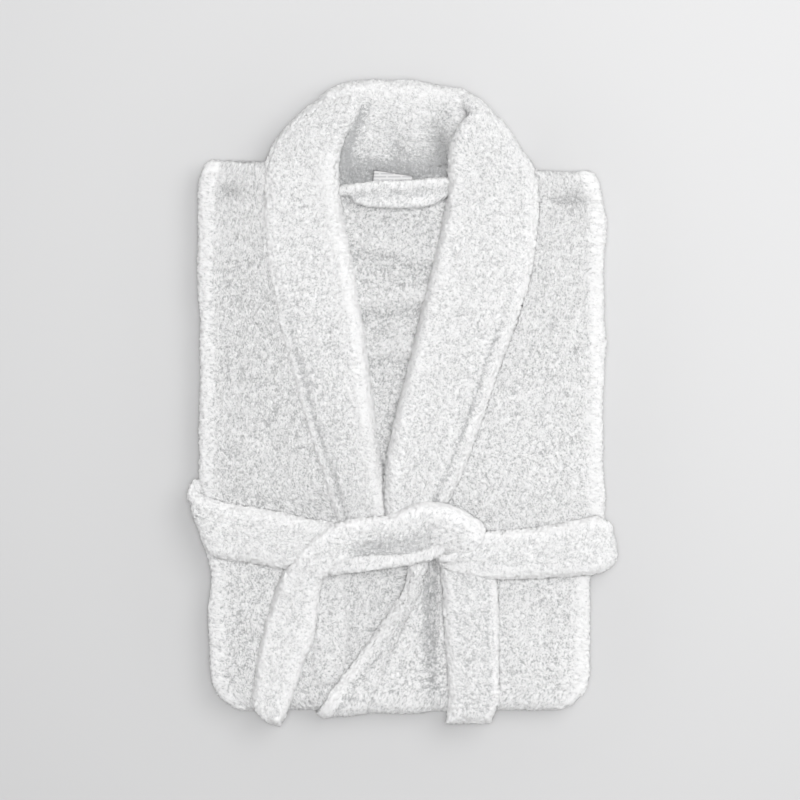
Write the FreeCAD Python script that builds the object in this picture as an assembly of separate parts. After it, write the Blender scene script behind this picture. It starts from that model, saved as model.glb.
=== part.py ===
"""A folded terry bathrobe with a shawl collar and a tied belt, as separate closed solids.

The robe lies on its back. +X is the viewer's right, +Y runs towards the collar, +Z is up, and the
origin is on the surface that the robe lies on, under the middle of its outline.

The skirt is folded under the upper robe about a line along X at the bottom edge. The sleeves are
folded behind the upper robe, about lines along Y at its two sides. From the surface upwards the
layers are: pockets, skirt fronts, skirt back, sleeves, side turns and the belt's back span, back
panel, front panels, collar, belt and knot.
"""
import FreeCAD, Part
import os

os.makedirs("parts", exist_ok=True)

# Plan sizes, in mm
SIDE_X = 222.0            # the upper robe's half width
SIDE_WALL = 6.0           # thickness of the front panels where they turn round the sides
SIDE_TURN = 106.0         # how far the front panels reach behind the back panel
HIP_LEFT_X = -209.0       # the sides below the belt
HIP_RIGHT_X = 206.0
SHOULDER_Y = 256.0
FOLD_Y = -337.0           # the bottom edge, where the skirt turns under
BELT_HALF_X = 236.0
BELT_TOP_Y = -106.0
BELT_LOW_Y = -170.0
LAPEL_END_Y = -102.0      # the lapels run under the knot here
SKIRT_END_Y = 213.0
HEM_WIDTH = 32.0
HEM_STEP = 1.0            # the hem is this much narrower than the skirt at each side
POCKET_WIDTH = 150.0
POCKET_DEPTH = 185.0
POCKET_MID_X = 128.0
POCKET_LOW_Y = -175.0
LEFT_SPAN_END = 86.0      # distances from the middle to the knot's two sides
RIGHT_SPAN_END = 104.0
TAIL_HINGE_Y = -191.0
LOOP_LOW_X, LOOP_HIGH_X = -60.0, 43.0
LOOP_LOW_Y, LOOP_HIGH_Y = 216.0, 247.0
LOOP_END = 22.0           # sewn length at each end of the hanger loop
LOOP_CLOTH = 6.0
LABEL_LOW_X, LABEL_HIGH_X = -31.0, 13.0
LABEL_LOW_Y, LABEL_HIGH_Y = 222.0, 255.5
BELT_LOOP_MID_X = 178.0
BELT_LOOP_WIDTH = 14.0
BELT_LOOP_CLOTH = 1.5
BELT_LOOP_SEAM = 5.0      # sewn length above and below the belt
BELT_SIDE_CLOTH = 13.0    # thickness of the belt where it goes round the sides
CUFF_START = 0.78         # share of the sleeve's length where the turned-back cuff begins

# Levels of the layers, in mm above the surface
POCKET_Z = (0.0, 4.0)
SKIRT_FRONT_Z = (4.0, 10.0)
SKIRT_BACK_Z = (10.0, 16.0)
SLEEVE_Z = (16.5, 27.5)
TURN_Z = (28.0, 34.0)
BACK_Z = (34.0, 40.0)
LEFT_FRONT_Z = (40.0, 45.0)
LEFT_FACING_Z = (45.0, 48.0)
RIGHT_FRONT_Z = (40.0, 50.0)
RIGHT_FACING_Z = (50.0, 54.0)
LEFT_LAPEL_Z = (45.0, 58.0)
RIGHT_LAPEL_Z = (50.0, 64.0)
NECK_Z = (45.0, 52.0)
UNDER_COLLAR_Z = (0.0, 45.0)
LEFT_BELT_Z = (45.0, 57.0)
RIGHT_BELT_Z = (50.0, 62.0)
TAIL_Z = (50.5, 62.0)
KNOT_Z = (54.0, 88.0)
LOOP_Z = (40.5, 47.5)     # the sewn ends start at the first level, the open middle at the second
LABEL_Z = (40.2, 41.0)


def edge_through(points):
    """A straight edge through two points, or a smooth one through more."""
    places = [FreeCAD.Vector(x, y, 0) for x, y in points]
    if len(places) == 2:
        return Part.makeLine(places[0], places[1])
    curve = Part.BSplineCurve()
    curve.interpolate(places)
    return curve.toShape()


def outline(*stretches):
    """A flat face whose edge follows the stretches in order, then closes to its start."""
    edges = []
    for index, points in enumerate(stretches):
        edges.append(edge_through(points))
        follower = stretches[(index + 1) % len(stretches)][0]
        if points[-1] != follower:
            edges.append(edge_through([points[-1], follower]))
    return Part.Face(Part.Wire(edges))


def slab(face, levels):
    """The face raised to fill a layer."""
    solid = face.extrude(FreeCAD.Vector(0, 0, levels[1] - levels[0]))
    solid.translate(FreeCAD.Vector(0, 0, levels[0]))
    return solid


def block(x_range, y_range, levels):
    corner = FreeCAD.Vector(x_range[0], y_range[0], levels[0])
    return Part.makeBox(x_range[1] - x_range[0], y_range[1] - y_range[0], levels[1] - levels[0], corner)


def mirrored(shape):
    return shape.mirror(FreeCAD.Vector(0, 0, 0), FreeCAD.Vector(1, 0, 0))


def save(name, shape):
    """Write one node after checking that it is one sound solid."""
    solid = shape.removeSplitter()
    if len(solid.Solids) != 1 or not solid.isValid():
        raise ValueError(f"{name} has {len(solid.Solids)} solids, valid: {solid.isValid()}")
    solid.exportStep(f"parts/{name}.step")
    box = solid.BoundBox
    spans = f"x {box.XMin:.0f}..{box.XMax:.0f}, y {box.YMin:.0f}..{box.YMax:.0f}, z {box.ZMin:.1f}..{box.ZMax:.1f}"
    print(f"{name}: {solid.Volume / 1000:.1f} cm3, {spans}")


# Edges that several pieces share
LEFT_LAPEL_OUTER = [(-153, 279), (-154, 180), (-142, 103), (-122, 26), (-103, -40), (-75, LAPEL_END_Y)]
LEFT_LAPEL_INNER = [(-10, LAPEL_END_Y), (-24, -40), (-38, 48), (-48, 136), (-62, 207), (-68, 262)]
RIGHT_LAPEL_OUTER = [(150, 265), (152, 213), (146, 152), (116, 59), (73, -62), (51, LAPEL_END_Y)]
RIGHT_LAPEL_INNER = [(-24, LAPEL_END_Y), (-15, -40), (7, 53), (29, 147), (49, 235), (52, 262)]
COLLAR_LEFT_ARCH = [(-2, 358), (-50, 356), (-90, 343), (-123, 321), (-153, 279)]
COLLAR_RIGHT_ARCH = [(-2, 358), (42, 354), (81, 341), (115, 312), (150, 265)]
NECK_LEFT_EDGE = [(-68, 262), (-57, 295), (-40, 321), (-2, 334)]
NECK_RIGHT_EDGE = [(52, 262), (56, 300), (46, 325), (-2, 334)]
FRONT_EDGE = [(12, -104), (8, -190), (-18, -238), (-57, -292), (-95, FOLD_Y)]
FRONT_SEAM = [(38, -104), (22, -190), (-8, -272), (-36, FOLD_Y)]


def side_wrap(side, hip_x, front):
    """A front panel's cloth where it turns round the side and reaches behind the back panel."""
    low, high = sorted((side * SIDE_X, side * (SIDE_X - SIDE_WALL)))
    wall = block((low, high), (BELT_LOW_Y, SHOULDER_Y - 14), (TURN_Z[0], front[1]))
    low, high = sorted((side * SIDE_X, side * (SIDE_X - SIDE_TURN)))
    turn = block((low, high), (BELT_TOP_Y, SHOULDER_Y - 14), TURN_Z)
    low, high = sorted((hip_x, hip_x - side * SIDE_WALL))
    hip_wall = block((low, high), (FOLD_Y, BELT_LOW_Y), (TURN_Z[0], front[1]))
    low, high = sorted((hip_x, hip_x - side * SIDE_TURN))
    hip_turn = block((low, high), (FOLD_Y, BELT_LOW_Y), TURN_Z)
    return wall.fuse([turn, hip_wall, hip_turn])


def make_back_panel():
    inner = SIDE_X - SIDE_WALL
    face = outline(
        [(HIP_LEFT_X + SIDE_WALL, FOLD_Y), (HIP_RIGHT_X - SIDE_WALL, FOLD_Y)],
        [(HIP_RIGHT_X - SIDE_WALL, BELT_LOW_Y), (inner, BELT_LOW_Y)],
        [(inner, SHOULDER_Y - 14), (120, SHOULDER_Y)],
        [(-120, SHOULDER_Y), (-inner, SHOULDER_Y - 2)],
        [(-inner, BELT_LOW_Y), (HIP_LEFT_X + SIDE_WALL, BELT_LOW_Y)],
    )
    return slab(face, BACK_Z)


def make_left_front(*under):
    face = outline(
        [(HIP_LEFT_X, FOLD_Y), (40, FOLD_Y)],
        [(45, LAPEL_END_Y), (-10, LAPEL_END_Y)],
        LEFT_LAPEL_INNER[:-1] + [(-66, 245)],
        [(-80, SHOULDER_Y), (-SIDE_X, SHOULDER_Y - 2)],
        [(-SIDE_X, BELT_LOW_Y), (HIP_LEFT_X, BELT_LOW_Y)],
    )
    sheet = slab(face, LEFT_FRONT_Z)
    return sheet.fuse(side_wrap(-1, HIP_LEFT_X, LEFT_FRONT_Z)).cut(list(under))


def make_right_front(*under):
    face = outline(
        FRONT_EDGE[::-1],
        [(-10, LAPEL_END_Y + 20), (-15, -40), (7, 53), (29, 147), (49, 235), (52, 250)],
        [(SIDE_X - 20, SHOULDER_Y - 8), (SIDE_X, SHOULDER_Y - 22)],
        [(SIDE_X, BELT_LOW_Y), (HIP_RIGHT_X, BELT_LOW_Y)],
        [(HIP_RIGHT_X, FOLD_Y), (-95, FOLD_Y)],
    )
    sheet = slab(face, RIGHT_FRONT_Z)
    return sheet.fuse(side_wrap(1, HIP_RIGHT_X, RIGHT_FRONT_Z)).cut(list(under))


def make_left_facing():
    face = outline(
        [(-100, FOLD_Y), (-52, FOLD_Y)],
        [(-52, BELT_LOW_Y - 2), (-100, BELT_LOW_Y - 2)],
    )
    return slab(face, LEFT_FACING_Z)


def make_right_facing():
    return slab(outline(FRONT_EDGE, FRONT_SEAM[::-1]), RIGHT_FACING_Z)


def make_left_collar():
    lapel = slab(outline(COLLAR_LEFT_ARCH, LEFT_LAPEL_OUTER, LEFT_LAPEL_INNER, NECK_LEFT_EDGE), LEFT_LAPEL_Z)
    stand = slab(outline(NECK_LEFT_EDGE, [(-2, 334), (-2, 262)]), NECK_Z)
    return lapel.fuse(stand)


def make_right_collar(left_collar):
    shape = outline(COLLAR_RIGHT_ARCH, RIGHT_LAPEL_OUTER, RIGHT_LAPEL_INNER, NECK_RIGHT_EDGE)
    lapel = slab(shape, RIGHT_LAPEL_Z).cut(left_collar)
    stand = slab(outline(NECK_RIGHT_EDGE, [(-2, 334), (-2, 262)]), NECK_Z)
    return lapel.fuse(stand)


def make_under_collar():
    face = outline(
        [(-138, SHOULDER_Y + 1), (-138, 280)],
        [(-138, 280), (-100, 326), (-50, 345), (0, 347), (75, 335), (135, 280)],
        [(135, SHOULDER_Y + 1), (-138, SHOULDER_Y + 1)],
    )
    return slab(face, UNDER_COLLAR_Z)


def make_belt_span(side, levels, inner_x):
    """The belt from the knot to the side, and down past the side wall."""
    edge = BELT_HALF_X - BELT_SIDE_CLOTH
    low, high = sorted((side * inner_x, side * BELT_HALF_X))
    top = block((low, high), (BELT_LOW_Y, BELT_TOP_Y), levels)
    low, high = sorted((side * edge, side * BELT_HALF_X))
    return top.fuse(block((low, high), (BELT_LOW_Y, BELT_TOP_Y), (TURN_Z[0], levels[1])))


def make_knot():
    face = outline(
        [(-75, -128), (-20, -124), (28, -107), (72, -118), (96, -140)],
        [(96, -140), (92, -168), (44, -184)],
        [(44, -184), (0, -182), (-50, -184), (-75, -170), (-75, -128)],
    )
    return slab(face, KNOT_Z)


def make_belt_loop(side):
    """A narrow strip over the belt's back span, sewn to the back panel above and below it."""
    middle = side * BELT_LOOP_MID_X
    across = (middle - BELT_LOOP_WIDTH / 2, middle + BELT_LOOP_WIDTH / 2)
    strip = block(across, (BELT_LOW_Y - BELT_LOOP_SEAM, BELT_TOP_Y + BELT_LOOP_SEAM), TURN_Z)
    inside = (TURN_Z[0] + BELT_LOOP_CLOTH, TURN_Z[1])
    return strip.cut(block(across, (BELT_LOW_Y, BELT_TOP_Y), inside))


def make_left_tail():
    face = outline(
        [(-82, TAIL_HINGE_Y), (-88, -215), (-95, -260), (-113, -300), (-124, -342)],
        [(-124, -342), (-132, -357), (-146, -356), (-166, -334)],
        [(-166, -334), (-160, -282), (-148, -230), (-128, TAIL_HINGE_Y)],
    )
    return slab(face, TAIL_Z)


def make_right_tail():
    face = outline(
        [(44, TAIL_HINGE_Y), (46, -250), (51, -326), (48, -353)],
        [(48, -353), (84, -358), (98, -354), (107, -340)],
        [(107, -340), (108, -250), (108, TAIL_HINGE_Y)],
    )
    return slab(face, TAIL_Z)


def make_hanger_loop():
    """A strip with both ends sewn down and its middle standing clear, for a hook."""
    low, high = LOOP_Z
    top = high + LOOP_CLOTH
    span = (LOOP_LOW_Y, LOOP_HIGH_Y)
    strip = block((LOOP_LOW_X, LOOP_HIGH_X), span, (high, top))
    left_end = block((LOOP_LOW_X, LOOP_LOW_X + LOOP_END), span, (low, top))
    right_end = block((LOOP_HIGH_X - LOOP_END, LOOP_HIGH_X), span, (low, top))
    return strip.fuse([left_end, right_end])


def sleeve_outline(start, end):
    """The folded sleeve between two shares of its length, from 0 at the side to 1 at the cuff."""
    shoulder, cuff_high = (-221.5, 236), (-16, -79)
    armpit, cuff_low = (-221.5, 0), (-160, -151)

    def between(first, last, share):
        return tuple(a + (b - a) * share for a, b in zip(first, last))

    high = [between(shoulder, cuff_high, start), between(shoulder, cuff_high, end)]
    low = [between(armpit, cuff_low, end), between(armpit, cuff_low, start)]
    return outline(high, low)


def make_pocket(side):
    middle = side * POCKET_MID_X
    across = (middle - POCKET_WIDTH / 2, middle + POCKET_WIDTH / 2)
    return block(across, (POCKET_LOW_Y, POCKET_LOW_Y + POCKET_DEPTH), POCKET_Z)


back_panel = make_back_panel()
belt_loops = {"left": make_belt_loop(-1), "right": make_belt_loop(1)}
belt_edge = BELT_HALF_X - BELT_SIDE_CLOTH
belt_strip = block((-belt_edge, belt_edge), (BELT_LOW_Y, BELT_TOP_Y), TURN_Z)
belt_back = belt_strip.cut(list(belt_loops.values()))
behind = [back_panel, belt_back, *belt_loops.values()]
left_front = make_left_front(*behind)
left_facing = make_left_facing()
left_collar = make_left_collar()
save("back_panel", back_panel)
save("front_panel_left", left_front)
save("front_facing_left", left_facing)
save("front_panel_right", make_right_front(*behind, left_front, left_facing, left_collar))
save("front_facing_right", make_right_facing())
save("collar_left", left_collar)
save("collar_right", make_right_collar(left_collar))
save("under_collar", make_under_collar())

save("belt_span_left", make_belt_span(-1, LEFT_BELT_Z, LEFT_SPAN_END))
save("belt_span_right", make_belt_span(1, RIGHT_BELT_Z, RIGHT_SPAN_END))
save("belt_back", belt_back)
save("belt_loop_left", belt_loops["left"])
save("belt_loop_right", belt_loops["right"])
save("belt_knot", make_knot())
save("belt_tail_left", make_left_tail())
save("belt_tail_right", make_right_tail())
save("hanger_loop", make_hanger_loop())
save("care_label", block((LABEL_LOW_X, LABEL_HIGH_X), (LABEL_LOW_Y, LABEL_HIGH_Y), LABEL_Z))

sleeve = slab(sleeve_outline(0.0, CUFF_START), SLEEVE_Z)
cuff = slab(sleeve_outline(CUFF_START, 1.0), SLEEVE_Z)
save("sleeve_left", sleeve)
save("sleeve_right", mirrored(sleeve))
save("cuff_left", cuff)
save("cuff_right", mirrored(cuff))

hem_y = SKIRT_END_Y - HEM_WIDTH
skirt_width = (HIP_LEFT_X, HIP_RIGHT_X)
save("skirt_back", block(skirt_width, (FOLD_Y, hem_y), SKIRT_BACK_Z))
save("skirt_front_left", block((HIP_LEFT_X, 0), (FOLD_Y, hem_y), SKIRT_FRONT_Z))
save("skirt_front_right", block((0, HIP_RIGHT_X), (FOLD_Y, hem_y), SKIRT_FRONT_Z))
hem_width = (HIP_LEFT_X + HEM_STEP, HIP_RIGHT_X - HEM_STEP)
save("skirt_hem", block(hem_width, (hem_y, SKIRT_END_Y), (POCKET_Z[0], SKIRT_BACK_Z[1])))
save("pocket_left", make_pocket(-1))
save("pocket_right", make_pocket(1))
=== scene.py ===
"""A folded white terry bathrobe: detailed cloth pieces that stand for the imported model's plain solids.

Lengths in this file are in millimetres and become metres when a mesh is made. +X is the viewer's right,
+Y runs towards the collar, +Z is up.
"""
import math
from itertools import product

import bpy
import numpy as np
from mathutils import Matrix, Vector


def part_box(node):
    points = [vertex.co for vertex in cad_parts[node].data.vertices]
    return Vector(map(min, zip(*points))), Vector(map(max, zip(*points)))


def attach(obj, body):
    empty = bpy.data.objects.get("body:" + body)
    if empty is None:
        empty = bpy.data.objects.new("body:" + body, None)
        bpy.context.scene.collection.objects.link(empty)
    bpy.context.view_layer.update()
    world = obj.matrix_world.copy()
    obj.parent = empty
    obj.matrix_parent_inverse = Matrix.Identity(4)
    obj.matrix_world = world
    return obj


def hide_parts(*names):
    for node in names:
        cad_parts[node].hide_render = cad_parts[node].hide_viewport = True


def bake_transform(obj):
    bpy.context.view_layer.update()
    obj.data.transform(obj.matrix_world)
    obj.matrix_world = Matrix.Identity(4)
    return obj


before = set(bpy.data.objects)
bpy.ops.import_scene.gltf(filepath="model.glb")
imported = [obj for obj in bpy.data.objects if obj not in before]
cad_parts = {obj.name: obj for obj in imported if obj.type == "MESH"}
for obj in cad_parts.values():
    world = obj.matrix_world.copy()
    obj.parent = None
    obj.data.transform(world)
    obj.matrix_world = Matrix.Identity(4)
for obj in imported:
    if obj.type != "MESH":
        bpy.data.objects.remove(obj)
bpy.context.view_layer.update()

# ------------------------------------------------------------------ driving sizes, in mm
FINE = 1.2                # spacing of mesh points on cloth that shows
MEDIUM = 2.8              # spacing on cloth that shows only when the robe is unfolded
COARSE = 6.0              # spacing on cloth that stays hidden
SHOULDER_Y = 256.0
FLAT_LENGTH = 575.0       # from the shoulder to where the skirt starts to turn under
BEND_LENGTH = 52.0
SKIRT_LENGTH = 503.0
FOLD_LEVEL = 25.0         # height of the fold's axis
SIDE_X = 220.0
ROBE_LENGTH = FLAT_LENGTH + BEND_LENGTH + SKIRT_LENGTH


def corner(node):
    """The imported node's lowest and highest corners, in mm."""
    low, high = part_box(node)
    return np.array(low) * 1000, np.array(high) * 1000


# ------------------------------------------------------------------ repeatable noise
def cell_value(ix, iy, iz, salt):
    """A repeatable value from 0 to 1 for each whole-number cell."""
    n = ix.astype(np.uint32) * np.uint32(73856093)
    n ^= iy.astype(np.uint32) * np.uint32(19349663)
    n ^= iz.astype(np.uint32) * np.uint32(83492791)
    n ^= np.uint32((salt * 668265263) & 0xFFFFFFFF)
    n = (n ^ (n >> np.uint32(15))) * np.uint32(2246822519)
    n = (n ^ (n >> np.uint32(13))) * np.uint32(3266489917)
    n ^= n >> np.uint32(16)
    return n.astype(np.float64) / 4294967295.0


def waves(points, size, salt):
    """Smooth noise from -1 to 1 whose bumps are about `size` apart."""
    scaled = points / size
    low = np.floor(scaled).astype(np.int64)
    part = scaled - low
    part = part * part * (3 - 2 * part)
    total = np.zeros(len(points))
    for steps in product((0, 1), repeat=3):
        weight = np.ones(len(points))
        for axis, step in enumerate(steps):
            weight *= part[:, axis] if step else 1 - part[:, axis]
        cells = low + np.array(steps)
        total += weight * cell_value(cells[:, 0], cells[:, 1], cells[:, 2], salt)
    return 2 * total - 1


def tufts(points, size, salt):
    """Rounded tufts about `size` apart: 1 at the middle of each, 0 in the creases between them."""
    scaled = points / size
    low = np.floor(scaled).astype(np.int64)
    nearest = np.full(len(points), 1.0)
    for steps in product((-1, 0, 1), repeat=3):
        cells = low + np.array(steps)
        gap = np.zeros(len(points))
        for axis in range(3):
            place = cells[:, axis] + cell_value(cells[:, 0], cells[:, 1], cells[:, 2], salt + axis)
            gap += (place - scaled[:, axis]) ** 2
        nearest = np.minimum(nearest, gap)
    return 1 - nearest


def smooth(value):
    value = np.clip(value, 0, 1)
    return value * value * (3 - 2 * value)


def bump(value, middle, width):
    """A soft bump, 1 at the middle."""
    return np.exp(-((value - middle) / width) ** 2)


# ------------------------------------------------------------------ curves and stations
def graded(*parts):
    """Stations over several stretches, each given as (start, end, spacing)."""
    stations = []
    for start, end, spacing in parts:
        count = max(1, round(abs(end - start) / spacing))
        stations.extend(start + (end - start) * i / count for i in range(count))
    stations.append(parts[-1][1])
    return np.array(stations)


def through(points, per_run=24):
    """A smooth curve through the points, as many closely spaced points."""
    p = np.array(points, float)
    p = np.vstack([2 * p[0] - p[1], p, 2 * p[-1] - p[-2]])
    t = np.linspace(0, 1, per_run, endpoint=False)[:, None]
    runs = []
    for a, b, c, d in zip(p, p[1:], p[2:], p[3:]):
        square, cube = 2 * a - 5 * b + 4 * c - d, 3 * b - a - 3 * c + d
        runs.append(0.5 * (2 * b + (c - a) * t + square * t**2 + cube * t**3))
    return np.vstack(runs + [p[-2:-1]])


def rails(left, right, spacing):
    """Two edges of a strip with as many points each, level with each other and evenly spaced."""
    a, b = through(left), through(right)
    steps = np.linalg.norm(np.diff((a + b) / 2, axis=0), axis=1)
    run = np.concatenate([[0], np.cumsum(steps)])
    stations = np.linspace(0, run[-1], max(3, round(run[-1] / spacing) + 1))
    pick = lambda curve: np.stack([np.interp(stations, run, curve[:, k]) for k in range(3)], 1)
    return pick(a), pick(b), stations


def x_at(points, y):
    """Where a curve through (x, y) points, given from high y to low y, stands at each y."""
    curve = through([(x, v, 0) for x, v in points])[::-1]
    return np.interp(y, curve[:, 1], curve[:, 0])


def rounded(distance, radius):
    """The height of a quarter circle over an edge: 0 at the edge and 1 from `radius` inwards."""
    share = np.clip(distance / radius, 0, 1)
    return np.sqrt(np.maximum(0, 1 - (1 - share) ** 2))


def soft_edge(distance, width):
    """A gentler edge: 0 at the edge and 1 from `width` inwards, with no upright wall."""
    share = np.clip(distance / width, 0, 1)
    return 1 - (1 - share) ** 1.4


# ------------------------------------------------------------------ cloth meshes
def facing(middle):
    """The unit normal of a grid of points."""
    along = np.gradient(middle, axis=0)
    across = np.gradient(middle, axis=1)
    normal = np.cross(along, across)
    return normal / np.maximum(np.linalg.norm(normal, axis=2, keepdims=True), 1e-9)


def shell(middle, half, up=None, relief=0.0, rim=None, step=3):
    """A closed sheet about a grid, whose plain side has only every `step`th point.

    Returns its vertices, its faces, how much pile each vertex has and how much painted highlight (painted
    shade where below zero) it carries.
    """
    rows, cols = half.shape
    up = facing(middle) if up is None else np.broadcast_to(np.array(up, float), middle.shape)
    top = middle + up * (half + relief)[..., None]
    under = middle - up * half[..., None]
    ids = np.arange(rows * cols).reshape(rows, cols)
    quads = np.stack([ids[:-1, :-1], ids[1:, :-1], ids[1:, 1:], ids[:-1, 1:]], -1).reshape(-1, 4)
    row_list = list(range(0, rows - 1, step)) + [rows - 1]
    col_list = list(range(0, cols - 1, step)) + [cols - 1]
    low_id, extra = {}, []
    for r in row_list:
        for c in col_list:
            if 0 < r < rows - 1 and 0 < c < cols - 1:
                low_id[r, c] = rows * cols + len(extra)
                extra.append(under[r, c])
            else:
                low_id[r, c] = int(ids[r, c])
    faces = quads.tolist()
    for r0, r1 in zip(row_list, row_list[1:]):
        for c0, c1 in zip(col_list, col_list[1:]):
            loop = [low_id[r0, c0]]
            loop += [int(ids[r0, c]) for c in range(c0 + 1, c1)] if r0 == 0 else []
            loop.append(low_id[r0, c1])
            loop += [int(ids[r, c1]) for r in range(r0 + 1, r1)] if c1 == cols - 1 else []
            loop.append(low_id[r1, c1])
            loop += [int(ids[r1, c]) for c in range(c1 - 1, c0, -1)] if r1 == rows - 1 else []
            loop.append(low_id[r1, c0])
            loop += [int(ids[r, c0]) for r in range(r1 - 1, r0, -1)] if c0 == 0 else []
            faces.append(loop)
    vertices = np.vstack([top.reshape(-1, 3), np.array(extra).reshape(-1, 3)])
    fine = np.concatenate([np.ones(rows * cols), np.full(len(extra), 0.35)])
    # Painted highlight and painted shade for each vertex, taken from `rim`.
    pale = np.zeros(len(vertices))
    if rim is not None:
        pale[:rows * cols] = np.broadcast_to(rim, half.shape).ravel()
    return vertices, faces, fine, pale


def strands(points, salt):
    """Short threads lying in locally shared directions, from about -1 to 1."""
    choice = waves(points, 8.0, salt)
    total, weights = np.zeros(len(points)), np.zeros(len(points))
    for k, (angle, middle) in enumerate(((12, -0.5), (72, 0.0), (132, 0.5))):
        c, s = math.cos(math.radians(angle)), math.sin(math.radians(angle))
        along = points[:, 0] * c + points[:, 1] * s
        across = points[:, 1] * c - points[:, 0] * s
        weight = bump(choice, middle, 0.28) + 0.02
        total += weight * waves(np.stack([along * 0.34, across, points[:, 2]], 1), 1.7, salt + 7 + k)
        weights += weight
    return total / weights


def terry(points):
    """Height of the terry pile over the cloth at each point, in mm, and its lightness: painted shade in the
    pits, paler tips, with a random part.
    """
    drift = np.stack([waves(points, 11.0, salt) for salt in (1, 2, 3)], 1) * 2.4
    loops = tufts(points + drift, 3.6, 11) - 0.62
    threads = strands(points, 21)
    clumps = waves(points * np.array([0.8, 1.25, 1.0]), 9.0, 31)
    cells = np.floor(points * 9).astype(np.int64)
    stray = cell_value(cells[:, 0], cells[:, 1], cells[:, 2], 41) - 0.5
    height = 1.0 * loops + 1.2 * threads + 0.4 * clumps + 1.8 * stray
    # Lightness follows the pile height: painted shade where the pile is low, plus random grain.
    shade = np.clip(0.58 + 0.2 * loops + 0.42 * threads + 0.05 * clumps + 0.9 * stray, 0, 1)
    return height, shade


def piece(name, body, nodes, shells, material, slot="terry", pile=1.0):
    """One Blender object from closed shells, with its pile grown, riding on its body."""
    vertices, faces, fine, pale = [], [], [], []
    start = 0
    for verts, polygons, weight, rim in shells:
        vertices.append(verts)
        fine.append(weight)
        pale.append(rim)
        faces.extend([[i + start for i in polygon] for polygon in polygons] if start else polygons)
        start += len(verts)
    points = np.vstack(vertices)
    mesh = bpy.data.meshes.new(name)
    mesh.from_pydata(points.tolist(), [], faces)
    normals = np.empty(len(points) * 3)
    mesh.vertices.foreach_get("normal", normals)
    if pile:
        height, shade = terry(points)
        cells = np.floor(points * 9).astype(np.int64)
        random_axes = [cell_value(cells[:, 0], cells[:, 1], cells[:, 2], 50 + k) for k in range(3)]
        stray = np.stack(random_axes, 1) - 0.5
        stray *= 0.9 + 0.5 * np.clip(np.concatenate(pale), 0, 1)[:, None]
        lean = normals.reshape(-1, 3) * height[:, None] + stray
        grown = np.concatenate(fine) * pile
        points = points + lean * grown[:, None]
        # Plain cloth gets flatter lightness, a little darker to stand in for the painted pit shade it lacks;
        # painted highlight and painted shade are then added.
        plain = grown < 0.6
        contrast = np.where(plain, 0.3, 1.0)
        shade = 0.58 - 0.1 * plain + (shade - 0.58) * contrast + 0.5 * np.concatenate(pale)
    else:
        shade = np.ones(len(points))
    mesh.vertices.foreach_set("co", (points * 0.001).ravel())
    # The "pile" attribute holds this lightness, painted shade and highlights included.
    attribute = mesh.attributes.new("pile", "FLOAT", "POINT")
    attribute.data.foreach_set("value", shade.astype(np.float32))
    mesh.polygons.foreach_set("use_smooth", np.ones(len(mesh.polygons), bool))
    mesh.update()
    obj = bpy.data.objects.new(name, mesh)
    bpy.context.scene.collection.objects.link(obj)
    obj.data.materials.append(material)
    if body:
        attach(obj, body)
    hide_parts(*nodes)
    return obj


def strip(left, right, thick, crown=0.0, edge=6.0, spacing=FINE, relief=None, painted_shading=None,
          settle=1.25, pale=0.9):
    """A closed strip of cloth between two edges, given as (x, y, z) points at its middle height.

    Its thickness is one number, or one at the left edge and one at the right. `settle` sinks its thin
    edges a little into what it lies on, and a painted highlight is laid along them (painted shade where
    its strength is below zero). `relief` gives the height of its features, and a second such function
    their painted shade and highlights, from the distances to its edges.
    """
    a, b, along = rails(left, right, spacing)
    widths = np.linalg.norm(b - a, axis=1)
    count = max(6, round(widths.max() / spacing) + 1)
    u = np.linspace(0, 1, count)
    middle = a[:, None] * (1 - u[:, None]) + b[:, None] * u[:, None]
    lift = crown(middle[..., 1]) if callable(crown) else crown
    middle[..., 2] += lift * (1 - (2 * u - 1) ** 2)
    from_side = np.minimum(u, 1 - u)[None, :] * widths[:, None]
    from_end = np.minimum(along, along[-1] - along)[:, None]
    first, last = thick if isinstance(thick, tuple) else (thick, thick)
    full = (first + (last - first) * u)[None, :] / 2
    half = full * soft_edge(np.minimum(from_side, from_end), edge)
    middle = middle - facing(middle) * (settle * (full - half))[..., None]
    extra = np.zeros_like(half)
    places = (u[None, :] * widths[:, None], (1 - u)[None, :] * widths[:, None], along[:, None], middle)
    if relief:
        extra = relief(*places) * rounded(from_side, edge) * rounded(from_end, edge)
    # Painted highlight along the edges; painted shade where its strength is below zero.
    rim = pale * bump(np.minimum(from_side, from_end + 4), 4, 7)
    # Painted shade and highlights of its features.
    if painted_shading:
        rim = rim + painted_shading(*places)
    return shell(middle, half, relief=extra, rim=rim)


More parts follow.
